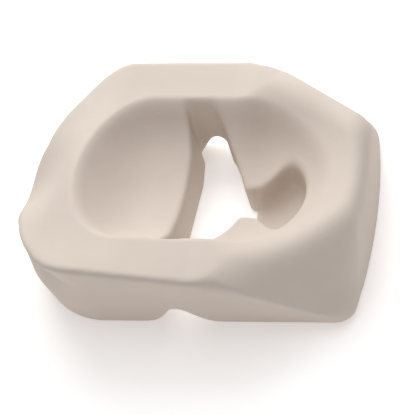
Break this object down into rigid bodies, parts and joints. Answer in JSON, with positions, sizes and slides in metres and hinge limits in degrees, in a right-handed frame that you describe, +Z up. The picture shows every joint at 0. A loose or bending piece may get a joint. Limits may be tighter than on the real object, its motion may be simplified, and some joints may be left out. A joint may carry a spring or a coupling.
{
  "type": "face cradle cushion",
  "caption": "Contoured foam face cushion for a massage table, with an eye slot, mouth opening, cheek pads, air channels and hook pads underneath.",
  "frame": {"origin": "middle of the flat underside, on the plane of symmetry", "axes": "+X towards the chin end, +Y towards the user's left cheek side seen from above, +Z up"},
  "size_m": [0.2971, 0.239, 0.086],
  "materials": {
    "soft_foam": "soft open-cell foam with a fine matt skin",
    "firm_foam": "firmer foam with a fine matt skin",
    "hook_tape": "woven nylon hook tape"
  },
  "bodies": {
    "root": {"contour_cushion": "soft_foam", "forehead_base": "firm_foam", "chin_base": "firm_foam", "hook_pad_chin_left": "hook_tape", "hook_pad_chin_right": "hook_tape", "hook_pad_forehead_left": "hook_tape", "hook_pad_forehead_right": "hook_tape"}
  },
  "joints": []
}
